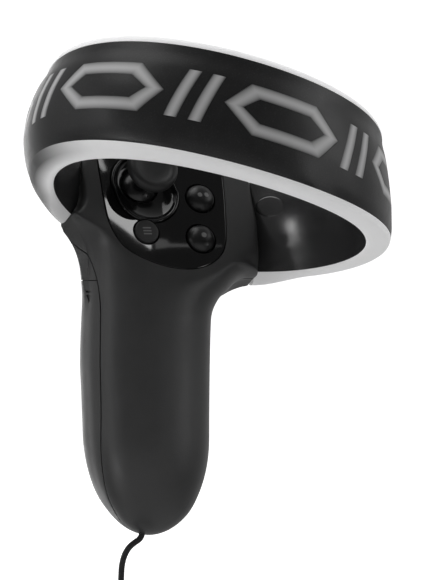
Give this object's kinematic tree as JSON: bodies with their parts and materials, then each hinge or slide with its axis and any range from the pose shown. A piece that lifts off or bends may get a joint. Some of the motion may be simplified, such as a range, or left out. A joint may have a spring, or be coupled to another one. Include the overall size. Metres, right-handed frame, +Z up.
{
  "type": "motion controller",
  "caption": "Hand-held motion controller: upright grip with a tilted thumb face, thumbstick, face buttons, trigger and an open tracking ring, with a wrist strap.",
  "frame": {"origin": "centre of the grip, on its long axis, midway between the grip's foot and its neck", "axes": "+Z up along the grip, +X to the user's right, +Y away from the user"},
  "size_m": [0.1035, 0.1146, 0.1998],
  "materials": {
    "shell_soft": "soft-touch matte",
    "band_dark": "fine satin grain",
    "light_guide": "smooth satin",
    "liner_black": "satin",
    "panel_gloss": "polished",
    "button_gloss": "polished",
    "menu_matte": "matte",
    "stick_rubber": "matte",
    "trigger_black": "satin",
    "inner_plastic": "matte",
    "silicone": "matte",
    "board_green": "satin",
    "steel": "plain",
    "cell_jacket": "satin",
    "strap_fabric": "woven"
  },
  "bodies": {
    "housing": {"front_shell": "shell_soft", "rear_shell": "shell_soft", "face_panel": "panel_gloss", "stick_dish": "panel_gloss", "stick_base": "inner_plastic", "button_membrane": "silicone", "main_board": "board_green", "board_screws": "steel", "ring_outer_band": "band_dark", "ring_inlays": "light_guide", "ring_lower_rim": "light_guide", "ring_top_rim": "light_guide", "ring_inner_wall": "liner_black", "ring_light_strip": "inner_plastic", "ring_screw_caps": "liner_black", "ring_screws": "steel", "trigger_pin": "steel", "trigger_spring": "steel", "bumper_switch": "inner_plastic", "grip_switch": "inner_plastic", "battery_cells": "cell_jacket", "battery_contacts": "steel", "battery_tray": "inner_plastic", "vibration_motor": "steel", "strap_bar": "steel", "strap_cord": "strap_fabric", "strap_toggle": "inner_plastic", "strap_hank": "strap_fabric", "strap_tie": "inner_plastic"},
    "stick_yoke_body": {"stick_yoke": "inner_plastic"},
    "stick_pivot_body": {"stick_pivot": "inner_plastic"},
    "stick_body": {"stick_cap": "stick_rubber", "stick_boot": "panel_gloss", "stick_shaft": "steel"},
    "button_lower_body": {"button_lower": "button_gloss"},
    "button_upper_body": {"button_upper": "button_gloss"},
    "menu_button_body": {"menu_button": "menu_matte"},
    "trigger_body": {"trigger": "trigger_black", "trigger_magnet": "steel"},
    "bumper_body": {"bumper": "trigger_black"},
    "grip_button_body": {"grip_button": "trigger_black"},
    "battery_cover_body": {"battery_cover": "shell_soft"}
  },
  "joints": [
    {"name": "stick_tilt_up", "type": "hinge", "parent": "housing", "child": "stick_yoke_body", "pos_m": [-0.0035, 0.00081, 0.06129], "axis": [1, 0, 0], "range_deg": [-15, 15], "stiffness_Nm_per_rad": 0.02},
    {"name": "stick_tilt_side", "type": "hinge", "parent": "stick_yoke_body", "child": "stick_pivot_body", "pos_m": [-0.0035, 0.00081, 0.06129], "axis": [0, 0.4226, 0.9063], "range_deg": [-15, 15], "stiffness_Nm_per_rad": 0.02},
    {"name": "stick_press", "type": "slide", "parent": "stick_pivot_body", "child": "stick_body", "axis": [0, 0.9063, -0.4226], "range_m": [0, 0.0005], "stiffness_N_per_m": 1500},
    {"name": "button_lower_press", "type": "slide", "parent": "housing", "child": "button_lower_body", "axis": [0, 0.9063, -0.4226], "range_m": [0, 0.0008], "stiffness_N_per_m": 800},
    {"name": "button_upper_press", "type": "slide", "parent": "housing", "child": "button_upper_body", "axis": [0, 0.9063, -0.4226], "range_m": [0, 0.0008], "stiffness_N_per_m": 800},
    {"name": "menu_press", "type": "slide", "parent": "housing", "child": "menu_button_body", "axis": [0, 0.9063, -0.4226], "range_m": [0, 0.0005], "stiffness_N_per_m": 1000},
    {"name": "trigger_pull", "type": "hinge", "parent": "housing", "child": "trigger_body", "pos_m": [0, 0.0058, 0.047], "axis": [-1, 0, 0], "range_deg": [0, 14], "stiffness_Nm_per_rad": 0.1},
    {"name": "bumper_press", "type": "slide", "parent": "housing", "child": "bumper_body", "axis": [0, -1, 0], "range_m": [0, 0.0008], "stiffness_N_per_m": 1000},
    {"name": "grip_press", "type": "slide", "parent": "housing", "child": "grip_button_body", "axis": [0, -1, 0], "range_m": [0, 0.001], "stiffness_N_per_m": 1000},
    {"name": "battery_cover_slide", "type": "slide", "parent": "housing", "child": "battery_cover_body", "axis": [0, 0.342, -0.9397], "range_m": [0, 0.06]}
  ]
}
